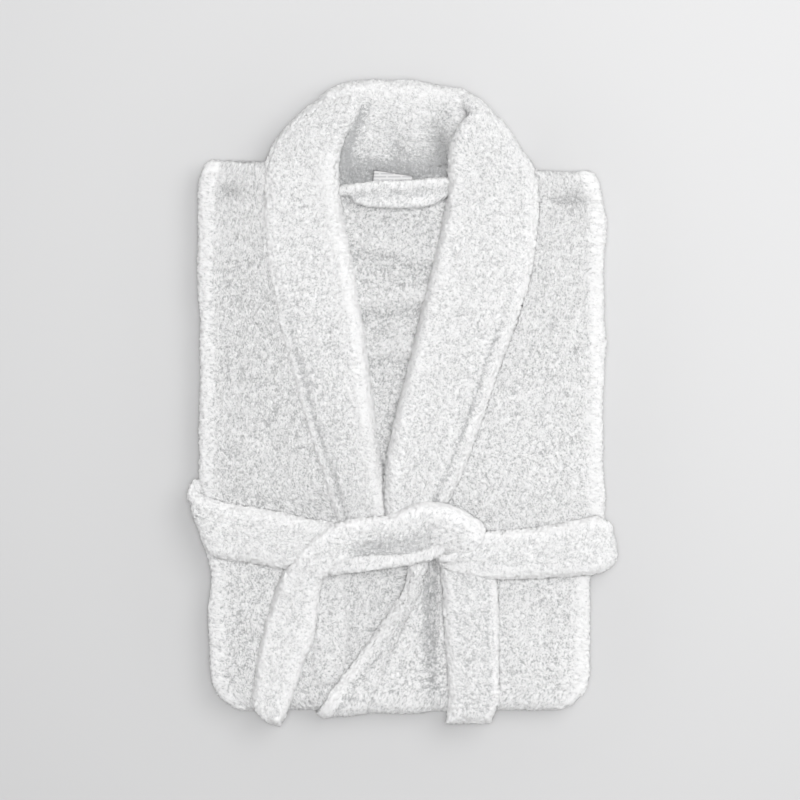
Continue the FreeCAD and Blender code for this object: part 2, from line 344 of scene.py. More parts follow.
# ------------------------------------------------------------------ materials
def terry_material(name, tip, painted_pit_shade):
    """White cotton loops: pale tips, greyer pits that are painted shade, a soft sheen and a stringy grain.
    """
    mat = bpy.data.materials.new(name)
    mat.use_nodes = True
    nodes, links = mat.node_tree.nodes, mat.node_tree.links
    shader = nodes["Principled BSDF"]
    shader.inputs["Roughness"].default_value = 1.0
    shader.inputs["Specular IOR Level"].default_value = 0.05
    shader.inputs["Sheen Weight"].default_value = 1.0
    shader.inputs["Sheen Roughness"].default_value = 0.35
    shader.inputs["Subsurface Weight"].default_value = 0.35
    shader.inputs["Subsurface Radius"].default_value = (1, 1, 1)
    shader.inputs["Subsurface Scale"].default_value = 0.004
    place = nodes.new("ShaderNodeTexCoord")
    # The "pile" value carries painted shade and painted highlights as well as random grain.
    pile = nodes.new("ShaderNodeAttribute")
    pile.attribute_name = "pile"
    grain = nodes.new("ShaderNodeTexNoise")
    grain.inputs["Scale"].default_value = 820.0
    grain.inputs["Detail"].default_value = 2.0
    grain.inputs["Roughness"].default_value = 0.6
    grain.inputs["Distortion"].default_value = 2.6
    links.new(place.outputs["Object"], grain.inputs["Vector"])
    both = nodes.new("ShaderNodeMath")
    both.operation = "MULTIPLY_ADD"
    both.inputs[1].default_value = 3.0
    links.new(grain.outputs["Fac"], both.inputs[0])
    links.new(pile.outputs["Fac"], both.inputs[2])
    halve = nodes.new("ShaderNodeMath")
    halve.operation = "MULTIPLY"
    halve.inputs[1].default_value = 0.40
    links.new(both.outputs["Value"], halve.inputs[0])
    # The ramp runs from the painted pit shade up to the tip colour.
    ramp = nodes.new("ShaderNodeValToRGB")
    ramp.color_ramp.elements[0].position = 0.58
    ramp.color_ramp.elements[0].color = (*painted_pit_shade, 1)
    ramp.color_ramp.elements[1].position = 0.90
    ramp.color_ramp.elements[1].color = (*tip, 1)
    links.new(halve.outputs["Value"], ramp.inputs["Fac"])
    links.new(ramp.outputs["Color"], shader.inputs["Base Color"])
    relief = nodes.new("ShaderNodeBump")
    relief.inputs["Strength"].default_value = 0.9
    relief.inputs["Distance"].default_value = 0.0016
    links.new(grain.outputs["Fac"], relief.inputs["Height"])
    links.new(relief.outputs["Normal"], shader.inputs["Normal"])
    return mat


def label_material():
    """Smooth woven tape with a few plain grey bars."""
    mat = bpy.data.materials.new("label_tape")
    mat.use_nodes = True
    nodes, links = mat.node_tree.nodes, mat.node_tree.links
    shader = nodes["Principled BSDF"]
    shader.inputs["Roughness"].default_value = 0.6
    place = nodes.new("ShaderNodeTexCoord")
    weave = nodes.new("ShaderNodeTexBrick")
    weave.inputs["Scale"].default_value = 1.0
    weave.inputs["Brick Width"].default_value = 0.016
    weave.inputs["Row Height"].default_value = 0.0034
    weave.inputs["Mortar Size"].default_value = 0.0011
    weave.inputs["Color1"].default_value = (0.36, 0.36, 0.37, 1)
    weave.inputs["Color2"].default_value = (0.42, 0.42, 0.43, 1)
    weave.inputs["Mortar"].default_value = (0.56, 0.56, 0.56, 1)
    links.new(place.outputs["Object"], weave.inputs["Vector"])
    links.new(weave.outputs["Color"], shader.inputs["Base Color"])
    return mat


# Three copies of one white terry that differ mainly in how dark their painted pit shade is.
CLOTH = terry_material("terry_white", (0.96, 0.96, 0.961), (0.42, 0.425, 0.431))
COLLAR_CLOTH = terry_material("collar_white", (0.96, 0.96, 0.961), (0.50, 0.505, 0.511))
BELT_CLOTH = terry_material("belt_white", (0.97, 0.97, 0.971), (0.54, 0.545, 0.551))
LABEL = label_material()


# ------------------------------------------------------------------ the robe's shared edges, as (x, y)
LEFT_ROLL = [(-68, 262), (-65, 225), (-59, 190), (-49, 136), (-37, 60), (-25, -35), (-20, -80), (-10, -125)]
RIGHT_ROLL = [(51, 260), (48, 225), (39, 180), (27, 130), (8, 50), (-14, -40), (-21, -95), (-24, -125)]
FRONT_EDGE = [(14, -104), (8, -190), (-18, -238), (-57, -292), (-92, -337)]
FRONT_SEAM = [(42, -104), (26, -190), (-6, -265), (-38, -337)]


def folded(x, level, run):
    """Where a point of the robe lies, from its length down from the shoulder and its height there."""
    over = np.clip(-run / 16.0, 0, 1) * math.radians(115)
    turn = np.clip((run - FLAT_LENGTH) / BEND_LENGTH, 0, 1) * math.pi
    beyond = np.maximum(run - FLAT_LENGTH - BEND_LENGTH, 0)
    flat = np.clip(run, 0, FLAT_LENGTH)
    roll = 8.0
    y = SHOULDER_Y - flat + beyond - (level - FOLD_LEVEL) * np.sin(turn) + roll * np.sin(over)
    z = FOLD_LEVEL + (level - FOLD_LEVEL) * np.cos(turn) - roll * (1 - np.cos(over))
    return np.stack(np.broadcast_arrays(x, y, z), -1)


def side_at(run, side):
    """Half the robe's width: wider above the belt, drawn in below it, rounded at the top and at the fold."""
    hip = np.where(side < 0, 208.0, 205.0)
    wide = SIDE_X - (SIDE_X - hip) * smooth((run - 395) / 60)
    wide = wide - 25.0 * bump(run, FLAT_LENGTH + BEND_LENGTH / 2, 23)
    wide = wide - 24.0 * (1 - rounded(run + 16, 46))
    rough = np.stack([np.full_like(run, side * 50.0), run, np.zeros_like(run)], 1)
    return wide + 1.8 * waves(rough, 70.0, 41) + 1.0 * waves(rough, 26.0, 42)


def soft_swell(x, run, salt):
    """Slow, shallow swelling of cloth that lies loose."""
    flat = np.stack(np.broadcast_arrays(x, run, np.zeros_like(x)), -1).reshape(-1, 3)
    return (1.6 * waves(flat, 62.0, salt) + 0.8 * waves(flat, 27.0, salt + 1)).reshape(x.shape)


def shoulder_dent(x, run):
    """The hollow in each shoulder, where the folded sleeves leave the cloth unsupported."""
    left = 8.0 * bump(x, -188, 18) * bump(run, 22, 11)
    return left + 10.5 * bump(x, 184, 23) * bump(run, 25, 12)


def tail_fold(x, run):
    """The deep fold in the skirt beside the right tail, from 0 to 1."""
    return bump(x, 31 + 0.02 * (run - 440), 10) * smooth((run - 400) / 20) * smooth((640 - run) / 140)


def front_panel(side, inner, level_at, runs, fractions, relief_at):
    """One front, from behind the back, round the side and across to its inner edge, with its skirt."""
    wide = side_at(runs, side)
    reach = 1 - 0.93 * smooth((runs - 500) / 90)
    radius, reach_out = 5.6, 13.0
    behind = np.array([98.0, 84, 66, 48, 32, 20, 11, 5])
    angles = np.radians(np.linspace(-90, 90, 21))
    hidden_x = (wide[:, None] - reach_out - behind[None, :] * reach[:, None])
    bend_x = (wide[:, None] - reach_out + reach_out * np.cos(angles)[None, :])
    start = wide - reach_out
    top_x = start[:, None] + (side * inner[:, None] - start[:, None]) * fractions[None, 1:]
    x = side * np.hstack([hidden_x, bend_x, top_x])
    droop = 11.0 * smooth((x - 90) / 90) * smooth((90 - runs[:, None]) / 90)
    height = level_at(x, runs[:, None])
    at_side = level_at(side * start[:, None], runs[:, None])
    low = at_side - 2 * radius
    level = np.hstack([
        np.broadcast_to(low, hidden_x.shape),
        at_side - radius + radius * np.sin(angles)[None, :],
        height[:, len(behind) + len(angles):],
    ])
    middle = folded(x, level - shoulder_dent(x, runs[:, None]), runs[:, None])
    middle[..., 1] -= droop
    steps = np.linalg.norm(np.diff(middle[len(runs) // 3], axis=0), axis=1)
    across = np.concatenate([[0], np.cumsum(steps)])
    inwards = np.minimum(across, across[-1] - across)[None, :]
    lengthwise = np.minimum(runs - runs[0], runs[-1] - runs)[:, None]
    half = 2.7 * rounded(np.minimum(inwards, lengthwise), 5.0)
    half[[0, -1]] = 0
    half[:, [0, -1]] = 0
    outside = np.hstack([np.zeros(len(behind)), np.ones(half.shape[1] - len(behind))])
    extra = relief_at(x, runs[:, None], outside)
    extra = extra * rounded(inwards, 8.0) * rounded(lengthwise, 8.0)
    # Painted highlight along the side edges; painted shade over the lower left front, in the shoulder
    # hollows and in the fold beside the right tail.
    painted_highlight, shade = (0.75, 0.0) if side > 0 else (0.55, 0.2)
    rim = painted_highlight * bump(np.minimum(wide[:, None] - side * x, 60), 5, 10)
    rim = rim - shade * smooth((runs - 60) / 80)[:, None] - 0.055 * shoulder_dent(x, runs[:, None])
    if side > 0:
        rim = rim - 1.2 * tail_fold(x, runs[:, None])
        middle, half, extra, rim = (part[:, ::-1] for part in (middle, half, extra, rim))
    return shell(middle, half, relief=extra, rim=rim)


PANEL_RUNS = graded((-16, 0, 2), (0, FLAT_LENGTH, FINE), (FLAT_LENGTH, FLAT_LENGTH + BEND_LENGTH, 1.6),
                    (FLAT_LENGTH + BEND_LENGTH, ROBE_LENGTH, MEDIUM))


def make_left_front():
    runs = PANEL_RUNS
    y = SHOULDER_Y - runs
    share = smooth((runs - 350) / 40)
    covered = 16 - 40 * smooth((runs - 440) / 140)
    inner = (x_at(LEFT_ROLL, np.maximum(y, -110)) - 34) * (1 - share) + covered * share

    def level_at(x, run):
        return 42.3 - 5.0 * tail_fold(x, run) - 1.0 * smooth((run - 560) / 80)

    def relief_at(x, run, outside):
        swell = soft_swell(x, run, 51)
        rim = 1.8 * bump(x, -(SIDE_X - 9), 9) * smooth((330 - run) / 60)
        belt = -1.0 * bump(run, 392, 30)
        return (swell + rim + belt) * outside

    fractions = graded((0, 0.9, 0.9 / 176), (0.9, 1, 0.02))
    return front_panel(-1, inner, level_at, runs, fractions, relief_at)


def make_right_front():
    runs = PANEL_RUNS
    y = SHOULDER_Y - runs
    upper = x_at(RIGHT_ROLL[:6] + FRONT_EDGE, np.clip(y, -337, 262))
    past = smooth((runs - FLAT_LENGTH - BEND_LENGTH) / 170)
    inner = upper + 36 * smooth((y + 80) / 60)
    inner = inner * (1 - past) + -40 * past

    def level_at(x, run):
        lap = 4.2 * smooth((75 - x) / 60) * smooth((run - 240) / 60) - 5.0 * tail_fold(x, run)
        return 43.0 + lap - 1.2 * smooth((run - 560) / 80) - 2.6 * smooth((run - 605) / 50)

    def relief_at(x, run, outside):
        swell = soft_swell(x, run, 61)
        rim = 1.8 * bump(x, SIDE_X - 9, 9) * smooth((330 - run) / 60)
        belt = -2.5 * bump(run, 412, 30)
        return (swell + rim + belt - 2.5 * tail_fold(x, run)) * outside

    fractions = graded((0, 1, 1 / 190))
    return front_panel(1, inner, level_at, runs, fractions, relief_at)


def make_back():
    past_bend = FLAT_LENGTH + BEND_LENGTH
    runs = graded((-8, 0, 2), (0, 330, FINE), (330, FLAT_LENGTH, COARSE), (FLAT_LENGTH, past_bend, 3),
                  (past_bend, ROBE_LENGTH, COARSE))
    share = graded((-1, -0.36, 0.035), (-0.36, 0.31, 0.0058), (0.31, 1, 0.035))
    wide = np.minimum(side_at(runs, -1), side_at(runs, 1)) - 8
    x = wide[:, None] * share[None, :]
    run = runs[:, None]
    hollow = -3.0 * smooth(run / 30) * smooth((330 - run) / 120)
    middle = folded(x, 37.0 + hollow - shoulder_dent(x, run), run)
    middle[..., 1] -= 11.0 * smooth((x - 90) / 90) * smooth((90 - run) / 90)
    inwards = np.minimum(1 + share, 1 - share)[None, :] * wide[:, None]
    lengthwise = np.minimum(runs - runs[0], runs[-1] - runs)[:, None]
    half = 2.6 * rounded(np.minimum(inwards, lengthwise), 5.0)
    half[[0, -1]] = 0
    wrinkles = 3.4 * bump(run + 0.12 * x, 138, 9) - 2.6 * bump(run + 0.12 * x, 154, 9)
    wrinkles = wrinkles + 3.0 * bump(run - 0.08 * x, 196, 10) - 2.2 * bump(run - 0.08 * x, 212, 8)
    wrinkles = wrinkles + 1.8 * bump(run - 0.2 * x, 84, 12) - 2.0 * bump(run - 0.2 * x, 102, 10)
    extra = (wrinkles + soft_swell(x, run + 0 * x, 71)) * smooth(run / 20) * smooth((400 - run) / 60)
    # Painted shade in the wrinkles' hollows and highlights on their ridges, and a band of painted shade at
    # the neck seam behind the label.
    rim = 0.12 * (wrinkles - 1.5) - 1.5 * smooth((22 - run) / 14)
    return shell(middle, half, relief=extra * rounded(inwards, 8.0), rim=rim)


def make_right_facing():
    """The doubled band along the right front's edge, from the knot round the fold to the hem."""
    runs = graded((348, FLAT_LENGTH, FINE), (FLAT_LENGTH, FLAT_LENGTH + BEND_LENGTH, 1.6),
                  (FLAT_LENGTH + BEND_LENGTH, ROBE_LENGTH, MEDIUM))
    y = np.clip(SHOULDER_Y - runs, -337, -104)
    past = smooth((runs - FLAT_LENGTH - BEND_LENGTH) / 170)
    left = x_at(FRONT_EDGE, y) * (1 - past) - 40 * past - 2.0
    right = x_at(FRONT_SEAM, y) * (1 - past) + 6 * past
    u = np.linspace(0, 1, 40)
    x = left[:, None] * (1 - u) + right[:, None] * u
    turned = smooth((runs - 600) / 40)
    level = (50.4 - 2.4 * smooth((runs - 560) / 80) - 3.0 * turned)[:, None] + 0 * x
    middle = folded(x, level, runs[:, None])
    widths = (right - left)[:, None]
    from_edge, from_seam = u[None, :] * widths, (1 - u)[None, :] * widths
    lengthwise = np.minimum(runs - runs[0], runs[-1] - runs)[:, None]
    half = 2.6 * soft_edge(np.minimum(np.minimum(from_edge * 1.2, from_seam), lengthwise), 9.0)
    half[[0, -1]] = 0
    half[:, [0, -1]] = 0
    extra = 3.0 * bump(from_edge, 10, 7) * (1 - 0.6 * turned[:, None]) - 1.0 * bump(from_seam, 9, 3.0)
    extra = extra * rounded(from_edge, 5) * rounded(from_seam, 5)
    # Painted highlight along the rolled front edge and painted shade in the groove behind it.
    return shell(middle, half, relief=extra, rim=1.1 * bump(from_edge, 7, 7) - 0.3 * bump(from_edge, 22, 7))


def lapel_relief(stitch, depth, inner_first):
    """The rolled inner edge, the stitched groove and the raised outer band of a lapel."""
    def relief(from_left, from_right, along, middle):
        inner, outer = (from_left, from_right) if inner_first else (from_right, from_left)
        below = smooth((170 - middle[..., 1]) / 140)
        roll = 2.2 * bump(inner, 13, 9) - 1.0 * bump(inner, 34, 12)
        groove = -depth * bump(outer, stitch, 3.6) * below
        band = 0.8 * bump(outer, stitch * 0.5, 5) * below
        flat = middle.reshape(-1, 3)
        swell = (1.6 * waves(flat, 44.0, 81) + 1.0 * waves(flat, 19.0, 82)).reshape(middle.shape[:2])
        return roll + groove + band + swell
    return relief


def lapel_painted_shading(stitch, painted_highlight, inner_first):
    """Painted highlight over the roll; painted shade in the stitched groove, across the lower part and along
    the inner edge where it meets the neck.
    """
    def painted_shading(from_left, from_right, along, middle):
        inner, outer = (from_left, from_right) if inner_first else (from_right, from_left)
        y = middle[..., 1]
        below = smooth((170 - y) / 140)
        body = -0.3 * painted_highlight * rounded(outer, 30) * below - 1.7 * bump(inner, 2, 8) * smooth((y - 285) / 20)
        over_roll = painted_highlight * bump(inner, 13, 14) * smooth((300 - y) / 40)
        return over_roll - 0.8 * bump(outer, stitch, 3.2) * below + body
    return painted_shading


def collar_crown(y):
    """How far a lapel is arched across: little along the front, more where it turns behind the neck."""
    return 2.5 + 14.0 * smooth((y - 262) / 50) * smooth((348 - y) / 16)


def make_left_collar():
    outer = [(-18, 340, 24), (-38, 346, 24), (-66, 346, 25), (-92, 339, 30), (-123, 315, 34),
             (-146, 286, 41), (-153, 256, 46), (-154, 200, 47), (-149, 140, 46), (-137, 85, 46),
             (-122, 26, 46), (-104, -38, 46), (-86, -92, 46), (-74, -134, 45), (-66, -160, 44)]
    inner = [(-24, 332, 36), (-33, 334, 44), (-40, 330, 52), (-43, 320, 57), (-50, 308, 57),
             (-60, 290, 56), (-68, 264, 52), (-65, 225, 46), (-59, 188, 44), (-49, 136, 44),
             (-37, 60, 45), (-25, -35, 47), (-18, -80, 48), (-10, -128, 48), (-4, -156, 46)]
    stitch = 15.0
    return strip(outer, inner, (9.0, 15.0), crown=collar_crown, edge=17.0,
                 relief=lapel_relief(stitch, 2.8, False), painted_shading=lapel_painted_shading(stitch, 0.8, False))


def make_right_collar():
    inner = [(40, 330, 40), (56, 330, 48), (68, 325, 55), (70, 315, 59), (61, 307, 60), (53, 295, 60),
             (50, 276, 56), (50, 252, 51), (47, 222, 46), (38, 176, 45), (26, 126, 46), (8, 50, 50),
             (-14, -40, 56), (-21, -92, 56), (-22, -128, 52), (-22, -158, 50)]
    outer = [(36, 338, 24), (58, 340, 24), (83, 337, 29), (106, 320, 34), (124, 300, 38), (136, 282, 42),
             (146, 264, 47), (152, 238, 51), (152, 212, 53), (147, 165, 53), (137, 118, 53), (111, 44, 53),
             (75, -60, 53), (54, -108, 53), (42, -134, 51), (34, -158, 49)]
    stitch = 18.0
    # A weaker painted highlight along its edges than the default.
    return strip(inner, outer, (15.0, 9.0), crown=collar_crown, edge=17.0,
                 relief=lapel_relief(stitch, 3.4, True), painted_shading=lapel_painted_shading(stitch, 0.1, True), pale=0.5)


def make_neck():
    """The collar at the back of the neck: over the roll at the top and down its inside to the neck seam."""
    columns = graded((-90, -80, 3), (-80, 84, FINE), (84, 96, 3))
    v = graded((0, 1, 1 / 112))
    top_points = [(-90, 335), (-78, 346), (-57, 355), (12, 355), (42, 350), (64, 347), (82, 336), (96, 320)]
    foot_points = [(-90, 246), (-66, 249), (-29, 257), (-4, 260), (21, 258), (50, 255), (96, 252)]
    top = np.interp(columns, *zip(*top_points))
    foot = np.interp(columns, *zip(*foot_points))
    y = top[None, :] + (foot - top)[None, :] * v[:, None]
    down = top[None, :] - y
    z = 22 + 39 * rounded(down, 17) - 26 * smooth((down - 12) / 78)
    z = z - 17 * bump(columns, 43, 14)[None, :] * bump(y, 290, 32)
    z = z + 5.0 * bump(columns, 22, 10)[None, :] * bump(y, 318, 20)
    z = z - 4.0 * bump(columns, -2, 12)[None, :] * bump(y, 284, 22)
    z = z - 9 * smooth((-57 - columns) / 14)[None, :] * smooth((346 - y) / 22) * smooth((y - 268) / 30)
    z = z - 18 * smooth((columns - 62) / 16)[None, :] * smooth((344 - y) / 26)
    middle = np.stack(np.broadcast_arrays(columns[None, :], y, z), -1)
    inwards = np.minimum(columns - columns[0], columns[-1] - columns)[None, :]
    lengthwise = np.minimum(down, y - foot[None, :])
    half = 4.0 * rounded(np.minimum(inwards, lengthwise), 5.0)
    half[[0, -1]] = 0
    half[:, [0, -1]] = 0
    flat = middle.reshape(-1, 3)
    swell = (1.4 * waves(flat, 30.0, 85) + 0.9 * waves(flat, 14.0, 86)).reshape(half.shape)
    # Painted highlight over the top roll; painted shade in the two hollows, down towards the foot, in the
    # band at the neck seam and in the crease along the left collar's edge.
    painted_shading = 0.5 * bump(down, 8, 14) - 1.3 * bump(columns, 42, 14)[None, :] * bump(y, 288, 32)
    painted_shading = painted_shading - 0.7 * bump(columns, -2, 11)[None, :] * bump(y, 286, 20) - 0.9 * smooth((290 - y) / 26)
    painted_shading = painted_shading - 0.7 * smooth((272 - y) / 10)
    crease = columns[None, :] + 45 + 0.38 * (322 - y)
    painted_shading = painted_shading - 1.6 * bump(crease, 1, 8) * smooth((332 - y) / 14)
    return shell(middle, half, relief=swell * rounded(lengthwise, 8.0), rim=painted_shading)


def make_under_collar():
    """The part of the collar that lies folded under its back, hidden except from behind."""
    outer = [(-140, 262, 16), (-136, 288, 14), (-112, 318, 13), (-76, 336, 13), (-30, 344, 13),
             (20, 344, 13), (70, 334, 13), (108, 314, 13), (132, 288, 14), (140, 262, 16)]
    inner = [(x, 246, 13) for x in (-96, -88, -66, -40, -16, 12, 36, 62, 86, 96)]
    # Painted shade along its edges, which lie in the recess under the collar.
    return strip(inner, outer, (16.0, 22.0), crown=3.0, edge=14.0, spacing=1.8, pale=-0.5)


def make_hanger_loop():
    low = [(-80, 234, 27), (-63, 228, 37.5), (-44, 217, 44), (-18, 214, 45), (12, 214, 45),
           (32, 217, 44), (46, 224, 41), (62, 232, 34)]
    high = [(-80, 240, 27), (-63, 241, 37.5), (-42, 244, 47), (-16, 246, 48), (12, 247, 48),
            (32, 249, 47), (46, 250, 41), (62, 250, 34)]

    def relief(from_low, from_high, along, middle):
        return 2.4 * bump(from_high, 6, 3.5) - 2.0 * bump(from_high, 13, 4) + 1.2 * bump(from_low, 9, 5)

    # Painted highlight on the top ridge; painted shade under the ridge and along the lower edge, where the
    # loop shades the cloth.
    def painted_shading(from_low, from_high, along, middle):
        return 0.1 * bump(from_high, 5, 4) - 0.7 * bump(from_high, 14, 6) - 0.6 * bump(from_low, 2, 6)
    return strip(low, high, 8.0, crown=2.5, edge=7.0, spacing=1.1, relief=relief, painted_shading=painted_shading, pale=0.3)


def make_label():
    left = [(-31, 258, 43.5), (-32, 246, 43), (-33, 232, 42.5), (-33, 226, 42.5)]
    right = [(13, 251, 43.5), (12, 240, 43), (11, 230, 42.5), (11, 222, 42.5)]
    return strip(left, right, 0.9, edge=0.5, spacing=1.6)


def belt_relief(from_low, from_high, along, middle):
    """The rolled edges of the belt and the slack cloth between them."""
    flat = middle.reshape(-1, 3)
    swell = (1.4 * waves(flat, 34.0, 91) + 0.9 * waves(flat, 15.0, 92)).reshape(middle.shape[:2])
    return 0.9 * bump(from_low, 8, 6) + 1.3 * bump(from_high, 8, 6) - 0.8 * bump(from_high, 19, 6) + swell


def make_left_span():
    low = [(-186, -166, 31), (-197, -167, 31), (-206, -169, 37), (-206, -171, 47), (-195, -173, 52),
           (-178, -175, 52), (-153, -179, 53), (-126, -184, 55), (-96, -184, 57), (-60, -178, 60),
           (-20, -174, 61), (20, -170, 61), (46, -164, 58)]
    high = [(-190, -88, 31), (-214, -85, 31), (-232, -85, 38), (-235, -92, 47), (-222, -100, 53),
            (-190, -109, 53), (-142, -117, 53), (-110, -124, 55), (-84, -128, 57), (-55, -134, 60),
            (-20, -134, 61), (20, -134, 61), (50, -138, 58)]

    # Painted shade where the span runs in under the knot.
    def painted_shading(from_low, from_high, along, middle):
        return -0.95 * smooth((middle[..., 0] + 62) / 16)
    return strip(low, high, 11.0, edge=15.0, crown=1.0, relief=belt_relief, painted_shading=painted_shading)


def make_right_span():
    low = [(34, -170, 56), (42, -180, 59), (60, -188, 60), (84, -193, 59), (110, -194, 58),
           (152, -193, 57), (188, -191, 57), (215, -188, 56), (233, -182, 49), (233, -179, 39),
           (217, -175, 31), (190, -172, 31)]
    high = [(40, -158, 58), (52, -160, 61), (70, -148, 62), (92, -140, 60), (114, -139, 58),
            (152, -135, 57), (190, -128, 57), (211, -123, 56), (224, -124, 49), (225, -127, 39),
            (211, -125, 31), (190, -122, 31)]

    def relief(from_low, from_high, along, middle):
        width = from_low + from_high
        gathers = np.sin(from_low / width * 15) * 2.0 * smooth((115 - along) / 70)
        return belt_relief(from_low, from_high, along, middle) + gathers
    return strip(low, high, 11.0, edge=15.0, crown=1.0, relief=relief)


def make_belt_back():
    low = [(-196, -164, 31), (-100, -164, 31), (0, -166, 31), (100, -168, 31), (196, -170, 31)]
    high = [(-196, -96, 31), (-100, -102, 31), (0, -108, 31), (100, -114, 31), (196, -120, 31)]
    return strip(low, high, 5.4, edge=4.0, spacing=MEDIUM)


def make_over_band():
    """The belt's left tail, and the same cloth where it goes up and over the knot."""
    low = [(-132, -357, 50), (-124, -338, 51), (-114, -312, 51), (-106, -286, 51), (-95, -258, 51),
           (-90, -227, 52), (-88, -207, 55), (-82, -192, 58), (-64, -180, 60), (-40, -172, 60),
           (-14, -168, 60), (8, -167, 60), (24, -165, 60), (36, -163, 61), (41, -164, 61), (41, -167, 58),
           (40, -172, 53), (38, -178, 48)]
    high = [(-152, -350, 50), (-166, -330, 51), (-164, -308, 51), (-160, -280, 51), (-153, -249, 51),
            (-144, -218, 52), (-138, -200, 54), (-128, -180, 57), (-108, -154, 61), (-80, -134, 64),
            (-48, -126, 66), (-14, -122, 67), (14, -109, 67), (44, -108, 67), (74, -120, 66),
            (94, -139, 63), (78, -158, 58), (54, -178, 49)]

    def hollow(from_low, middle):
        x, y = middle[..., 0], middle[..., 1]
        between = smooth((x + 68) / 26) * smooth((46 - x) / 22)
        return bump(from_low, 16, 12) * between * smooth((y + 196) / 16)

    def relief(from_low, from_high, along, middle):
        width = from_low + from_high
        rolled = belt_relief(from_low, from_high, along, middle)
        fat = smooth((along - 190) / 60)
        creases = np.sin(from_low / width * 11 + along / 26) * 1.5 * smooth((along - 200) / 50)
        flat = middle.reshape(-1, 3)
        rough = 2.6 * waves(flat, 7.0, 97).reshape(width.shape[0], -1)
        bed = hollow(from_low, middle)
        return rolled + fat * 3.8 * bump(from_high, 17, 14) + creases * (1 - bed) + (rough - 3.6) * bed

    # Painted shade in the hollow beneath the knot's lobe and a faint painted highlight along its top edge.
    def painted_shading(from_low, from_high, along, middle):
        return -1.0 * hollow(from_low, middle) + 0.05 * bump(from_high, 12, 14)
    return strip(low, high, 12.0, edge=15.0, crown=2.0, relief=relief, painted_shading=painted_shading)


def make_under_band():
    """The belt where it passes below the over band, and comes out beneath it."""
    low = [(-92, -184, 54), (-78, -190, 58), (-60, -188, 60), (-44, -185, 61), (-2, -181, 61),
           (31, -175, 61), (50, -164, 60), (60, -154, 56)]
    high = [(-84, -158, 54), (-66, -162, 58), (-48, -164, 61), (-24, -163, 62), (2, -161, 62),
            (30, -154, 62), (46, -144, 60), (54, -136, 56)]
    # A weaker painted highlight along its edges.
    return strip(low, high, 12.0, edge=11.0, crown=2.0, pale=0.5)


def make_right_tail():
    left = [(40, -168, 50), (43, -194, 53), (46, -238, 55), (49, -282, 56), (51, -326, 56), (48, -353, 54)]
    right = [(98, -168, 50), (106, -194, 53), (108, -238, 55), (108, -282, 56), (108, -326, 56),
             (98, -353, 54)]

    def relief(from_left, from_right, along, middle):
        flat = middle.reshape(-1, 3)
        swell = (1.3 * waves(flat, 30.0, 95) + 0.8 * waves(flat, 14.0, 96)).reshape(middle.shape[:2])
        rolls = bump(from_left, 7, 6) + 1.5 * bump(from_right, 6, 5)
        return rolls - 1.2 * bump(from_right, 14, 3.5) + swell

    # Painted shade over the tail and in the groove beside its right roll.
    def painted_shading(from_left, from_right, along, middle):
        return -0.3 * rounded(from_right, 20) - 0.4 * bump(from_right, 14, 3.5)
    return strip(left, right, 12.0, edge=15.0, crown=1.0, relief=relief, painted_shading=painted_shading)


# ------------------------------------------------------------------ the hidden pieces
def mirror_x(points):
    return [(-x, y, z) for x, y, z in points]


SLEEVE_LOW = [(-204, 2, 35), (-213, 1, 34), (-217, 0, 28.5), (-213, -1, 21), (-200, -52, 20),
              (-174, -118, 20)]
SLEEVE_HIGH = [(-204, 232, 35), (-213, 232, 34), (-217, 231, 28.5), (-212, 228, 21), (-150, 130, 20),
               (-61, -10, 20)]
CUFF_LOW = [(-176, -112, 22), (-168, -132, 22), (-161, -150, 22)]
CUFF_HIGH = [(-64, -4, 22), (-40, -42, 22), (-17, -78, 22)]


def make_sleeve(side):
    if side < 0:
        return strip(SLEEVE_LOW, SLEEVE_HIGH, 7.0, edge=5.0, spacing=MEDIUM, settle=0)
    return strip(mirror_x(SLEEVE_HIGH), mirror_x(SLEEVE_LOW), 7.0, edge=5.0, spacing=MEDIUM, settle=0)


def make_cuff(side):
    """A turned-back cuff, with its mouth as a slit between its two layers."""
    low, high = (CUFF_LOW, CUFF_HIGH) if side < 0 else (mirror_x(CUFF_HIGH), mirror_x(CUFF_LOW))
    a, b, along = rails(low, high, MEDIUM)
    length = along[-1]
    mouth = [(3.0, 5.7), (1.2, 5.2), (0.0, 3.8), (0.8, 2.2), (4.0, 1.4), (10.0, 0.0)]
    keep = along < length - 4
    places = np.concatenate([along[keep], [length - back for back, _ in mouth]])
    halves = np.concatenate([5.7 * rounded(along[keep], 5.0), [half for _, half in mouth]])
    pick = lambda curve: np.stack([np.interp(places, along, curve[:, k]) for k in range(3)], 1)
    a, b = pick(a), pick(b)
    widths = np.linalg.norm(b - a, axis=1)
    u = np.linspace(0, 1, round(widths.max() / MEDIUM))
    middle = a[:, None] * (1 - u[:, None]) + b[:, None] * u[:, None]
    half = halves[:, None] * rounded(np.minimum(u, 1 - u)[None, :] * widths[:, None], 5.0)
    return shell(middle, half, up=(0, 0, 1), relief=np.zeros_like(half))


def make_pocket(side):
    low, high = corner("pocket_left" if side < 0 else "pocket_right")
    left = [(low[0], low[1], 2.2), (low[0] + 1, (low[1] + high[1]) / 2, 2.2), (low[0], high[1], 2.2)]
    right = [(high[0], low[1], 2.2), (high[0] - 1, (low[1] + high[1]) / 2, 2.2), (high[0], high[1], 2.2)]

    def relief(from_left, from_right, along, middle):
        sides = np.minimum(from_left, from_right)
        hem = 0.8 * smooth((38 - along) / 4) - 1.3 * bump(along, 38, 2.5)
        return hem - 1.3 * bump(sides, 8, 2.5) * smooth((along - 30) / 8)
    return strip(left, right, 3.6, edge=4.0, spacing=MEDIUM, relief=relief)


